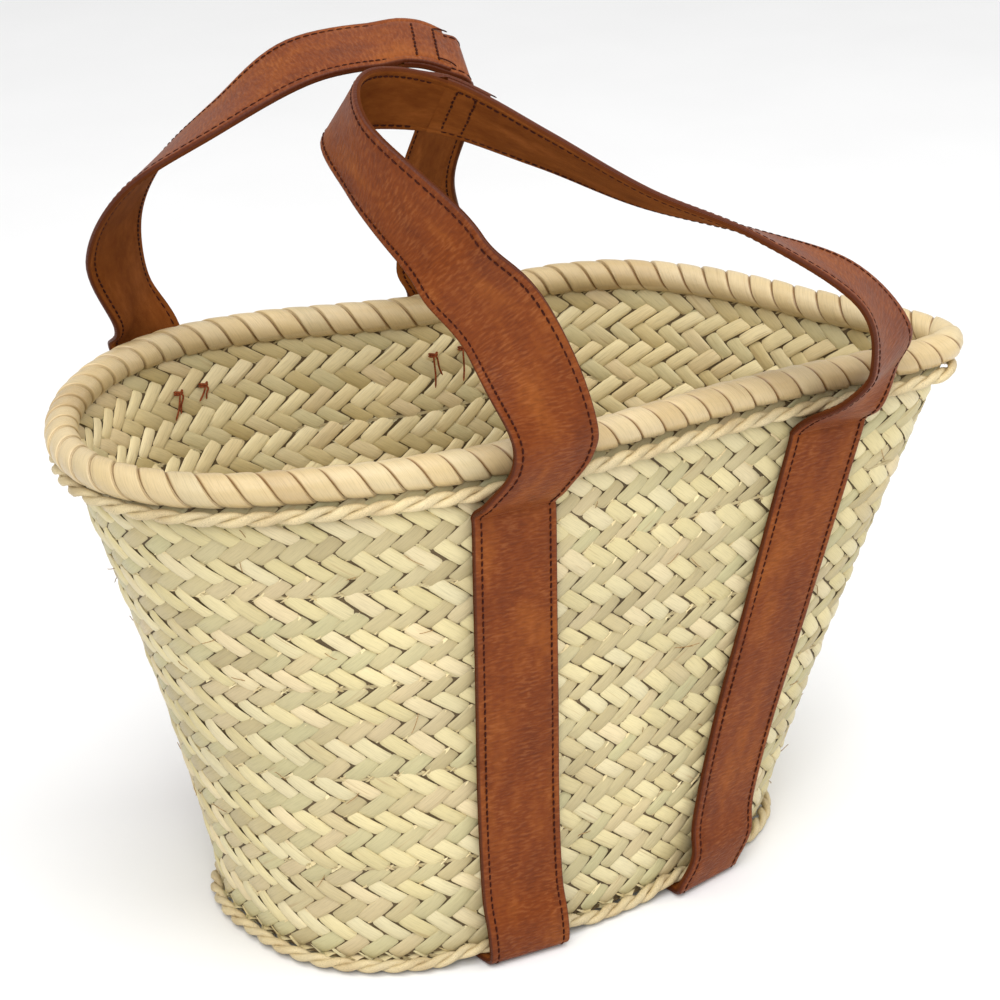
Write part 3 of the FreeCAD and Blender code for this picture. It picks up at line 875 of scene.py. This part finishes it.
def cross_row(ribbon, place, proud, rng):
    """A row of stitches across a ribbon."""
    wide = np.arange(-CROSS_REACH, CROSS_REACH + 0.5, STITCH_PITCH)[:, None, None]
    a = (2 * math.pi * np.arange(6) / 6)[None, None, :]
    size = STITCH_RADIUS * 1.1 * STITCH_RINGS[None, :, None, 1]
    across = wide + STITCH_LENGTH / 2 * STITCH_RINGS[None, :, None, 0] + 0 * a
    drift = rng.normal(size=wide.shape) * 0.15
    return ribbon.at(place + drift + size * np.cos(a) + 0 * across, across,
                     proud + size * np.sin(a) + 0 * across)


def add_stitches(name, rows, blend_to, replaced, slot_name="brown_thread"):
    """Rows of stitches or threads as one piece; blend_to is None, a side or a handle."""
    parts = []
    for row in rows:
        vertices, faces = strips(row)
        parts.append((vertices, faces, vertices * 0, 0))
    points, faces, which, leaf = joined(parts)
    material = red_thread if slot_name == "red_brown_thread" else brown_thread
    stitches = add_mesh(name, points, faces, [material], which, leaf)
    if blend_to in ("front_handle", "back_handle"):
        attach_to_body(stitches, blend_to)
    else:
        attach(stitches, blend_to)
    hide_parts(*replaced)


def corner_ribbon(corner):
    """One strap from the floor to its crown splice."""
    side, hand = corner.split("_")
    stations = [(np.array(m, float), np.array(a, float)) for m, a in HANDLES[side]]
    crown = CROWN[side]
    if hand == "right":
        stations = [(m, -a) for m, a in stations[::-1]]
        crown = len(stations) - 1 - crown
    return ribbon_through(wall_stations(corner) + stations[:crown + 1], stations[crown + 1])


def with_lap(left, right):
    """The left ribbon, carried on over the right one's end by the lap."""
    place = right.length() - np.arange(2.0, LAP + 0.1, 2.0)
    zero = 0 * place
    middle = right.at(place, zero, zero)
    across = -(right.at(place, zero + 1, zero) - middle)
    return Ribbon(np.vstack([left.middle, middle]), np.vstack([left.across, across]))


def add_strap(corner, ribbon, other, number):
    """A strap's two layers and its stitching, from the floor to the crown."""
    side, hand = corner.split("_")
    rng = np.random.default_rng(40 + number)
    lapped = hand == "left"
    outer = with_lap(ribbon, other) if lapped else ribbon
    add_layer(f"{corner}_leather", outer, 1, side,
              [f"{hand}_strap_{side}_outer", f"{side}_handle_{hand}_outer"], number, lapped)
    add_layer(f"{corner}_lining", ribbon, -1, side,
              [f"{hand}_strap_{side}_lining", f"{side}_handle_{hand}_lining"], number)
    length = ribbon.length()
    rows = [stitch_row(ribbon, wide, face * 1.82, 2, length - 6, rng)
            for wide in (-STITCH_ROW, STITCH_ROW) for face in (1, -1)]
    add_stitches(f"{corner}_stitches", rows, side,
                 [f"{hand}_strap_thread", f"{side}_handle_thread"])


def add_splice(side, right):
    """Two rows of stitches through the lap, with loose thread ends."""
    rng = np.random.default_rng(70)
    place = right.length()
    rows = []
    for back in (7.0, LAP - 6.0):
        rows.append(cross_row(right, place - back, 4.0, rng))
        rows.append(cross_row(right, place - back, -2.0, rng))
    for wide, end in ((-18, -21.5), (17, 20.5)):
        zero = np.zeros(1)
        path = [right.at(zero + place - LAP + 6 - 3 * k, zero + wide + (end - wide) * k / 3,
                         zero + 4.2 + 0.8 * math.sin(k))[0] for k in range(4)]
        rows.append(tube(arc_path(path, 10), 0.4))
    add_stitches(f"{side}_splice_stitches", rows, f"{side}_handle", [f"{side}_splice_thread"])


def add_base_run(hand, front, back, number):
    """A strap's run under the base, from one foot's bend to the other's."""
    (front_foot, front_across), (back_foot, back_across) = front, back
    stations = []
    for share in np.linspace(0, 1, 7):
        middle = front_foot + (back_foot - front_foot) * share
        stations.append((middle, -(front_across * (1 - share) - back_across * share)))
    run = ribbon_through(stations, stations[-1], 6)
    for face, layer in ((1, "outer"), (-1, "lining")):
        add_layer(f"{hand}_base_{layer}_run", run, face, None,
                  [f"{hand}_strap_base_{layer}"], number)


# along the wall, how far each corner's knots are from its tack's middle
TIE_PLACES = {"front_left": (-15, 15), "front_right": (-15, 15),
              "back_left": (0, 18), "back_right": (-15, 5)}


def add_ties():
    """Thread ties that hold each strap's tack, with their loose ends inside."""
    for number, (corner, x) in enumerate(TACK_X.items()):
        rng = np.random.default_rng(90 + number)
        side = -1 if corner.startswith("front") else 1
        middle, tangent = wall_at(x, TACK_HEIGHT, side)
        inward = -outward(tangent, side)
        up = np.array([0, 0, 1.0])
        rows = []
        for place in TIE_PLACES[corner]:
            centre = middle + tangent * place + inward * 4.6
            for k in range(2):
                lift = up * (k - 0.5) * 1.3
                path = [centre - tangent * 3 - inward * 1.4 + lift,
                        centre - tangent + inward * (0.6 + 0.3 * k) + lift,
                        centre + tangent + inward * (0.6 + 0.2 * k) - lift * 0.5,
                        centre + tangent * 3 - inward * 1.4 - lift]
                rows.append(tube(arc_path(path, 12), 0.75))
            for way in (-1, 1):
                drop, lean = 8 + 12 * rng.random(), rng.uniform(-0.5, 1.0)
                path = [centre + inward * 0.6,
                        centre + inward * 1.8 + tangent * way * 1.2 - up * 2,
                        centre + inward * 1.5 + tangent * (way + lean * 3) - up * drop * 0.6,
                        centre + inward * (0.8 + rng.random())
                        + tangent * (way * 2 + lean * 6) - up * drop]
                rows.append(tube(arc_path(path, 14), 0.55))
        add_stitches(f"{corner}_tie_thread", rows, None, [f"{corner}_tie"], "red_brown_thread")


def add_leather():
    """Four straps, two splices, two runs under the base and the ties."""
    ribbons = {corner: corner_ribbon(corner) for corner in BASE_X}
    for number, corner in enumerate(BASE_X):
        side, hand = corner.split("_")
        other = ribbons[f"{side}_{'right' if hand == 'left' else 'left'}"]
        add_strap(corner, ribbons[corner], other, number)
    for side in ("front", "back"):
        add_splice(side, ribbons[f"{side}_right"])
    for number, hand in enumerate(("left", "right")):
        feet = [wall_stations(f"{side}_{hand}")[0] for side in ("front", "back")]
        add_base_run(hand, *feet, number + 4)
    add_ties()


# ------------------------------------------------------------------ stage and camera
def plain_material(name, dark, light, scale):
    """For the nodes that stay as they are, deep inside the wall and the roll."""
    material, tree, principled = shader(name, 0.8)
    place = node(tree, "ShaderNodeTexCoord").outputs["Object"]
    strands = noise(tree, mapped(tree, place, (1, 1, 6)), scale, 3.0)
    tree.links.new(ramp(tree, strands, [(0.3, dark), (0.7, light)]),
                   principled.inputs["Base Color"])
    bump(tree, principled, strands, 0.0004, 0.6)
    return material


def dress_nodes():
    """Procedural materials for the CAD nodes left showing."""
    finishes = {
        "rim_core": plain_material("core_straw", (0.36, 0.27, 0.12), (0.58, 0.46, 0.25), 120),
        "seam_twine": plain_material("palm_twine", (0.30, 0.23, 0.11), (0.52, 0.43, 0.24), 260),
    }
    for name, material in finishes.items():
        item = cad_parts[name]
        item.data.materials.clear()
        item.data.materials.append(material)


def add_area(name, place, size, energy, target=(0, 0, 0.2)):
    """A square light that faces the basket."""
    light = bpy.data.lights.new(name, "AREA")
    light.shape, light.size, light.energy = "SQUARE", size, energy
    item = bpy.data.objects.new(name, light)
    item.location = place
    aim = Vector(target) - Vector(place)
    item.rotation_euler = aim.to_track_quat("-Z", "Y").to_euler()
    bpy.context.scene.collection.objects.link(item)


def add_stage():
    """A white floor and world, and three soft lights."""
    bpy.ops.mesh.primitive_plane_add(size=30, location=(0, 0, -0.0005))
    floor = bpy.context.object
    floor.name = "studio_floor"
    floor.data.materials.append(floor_material())
    world = bpy.data.worlds.new("studio")
    world.use_nodes = True
    background = world.node_tree.nodes["Background"]
    background.inputs["Color"].default_value = (1.0, 1.0, 1.0, 1)
    background.inputs["Strength"].default_value = 0.75
    bpy.context.scene.world = world
    add_area("key_light", (-1.6, -1.9, 1.9), 1.4, 40)
    add_area("top_light", (-0.2, -0.5, 2.4), 1.8, 34)
    add_area("side_light", (1.9, -0.9, 1.1), 1.2, 9)
    bpy.context.scene.view_settings.view_transform = "Standard"


AZIMUTH, ELEVATION, ROLL = (math.radians(a) for a in (-34.68, 22.79, -0.683))
CAMERA_DISTANCE, CAMERA_LENS = 1.7447, 118.02
CAMERA_TARGET = Vector((-0.0239, -0.0424, 0.234))


def add_camera():
    back = Vector((math.sin(AZIMUTH) * math.cos(ELEVATION),
                   -math.cos(AZIMUTH) * math.cos(ELEVATION), math.sin(ELEVATION)))
    right = Vector((math.cos(AZIMUTH), math.sin(AZIMUTH), 0))
    up = back.cross(right)
    r = right * math.cos(ROLL) + up * math.sin(ROLL)
    u = up * math.cos(ROLL) - right * math.sin(ROLL)
    camera = bpy.data.objects.new("camera", bpy.data.cameras.new("camera"))
    camera.data.lens = CAMERA_LENS
    camera.data.sensor_width = 36
    spot = CAMERA_TARGET + back * CAMERA_DISTANCE
    camera.matrix_world = Matrix(((r.x, u.x, back.x, spot.x), (r.y, u.y, back.y, spot.y),
                                  (r.z, u.z, back.z, spot.z), (0, 0, 0, 1)))
    bpy.context.scene.collection.objects.link(camera)
    bpy.context.scene.camera = camera


# --------------------------------------------------------------------------- build
CORD_Z = RIM_LEVEL - ROLL_RADIUS - 4.6
BASE_CORD_Z, BASE_CORD_DROP = 8.2, 3.7
add_courses()
add_base()
add_rim_wrap()
add_twist("rim_twisted_cord", "rim_cord", CORD_Z, 7.7, 0, 4.3, 40, 61)
add_twist("base_twisted_cord", "base_cord", BASE_CORD_Z, 4.6, BASE_CORD_DROP, 4.0, 34, 62)
add_stray_fibres()
add_leather()
dress_nodes()
add_stage()
add_camera()
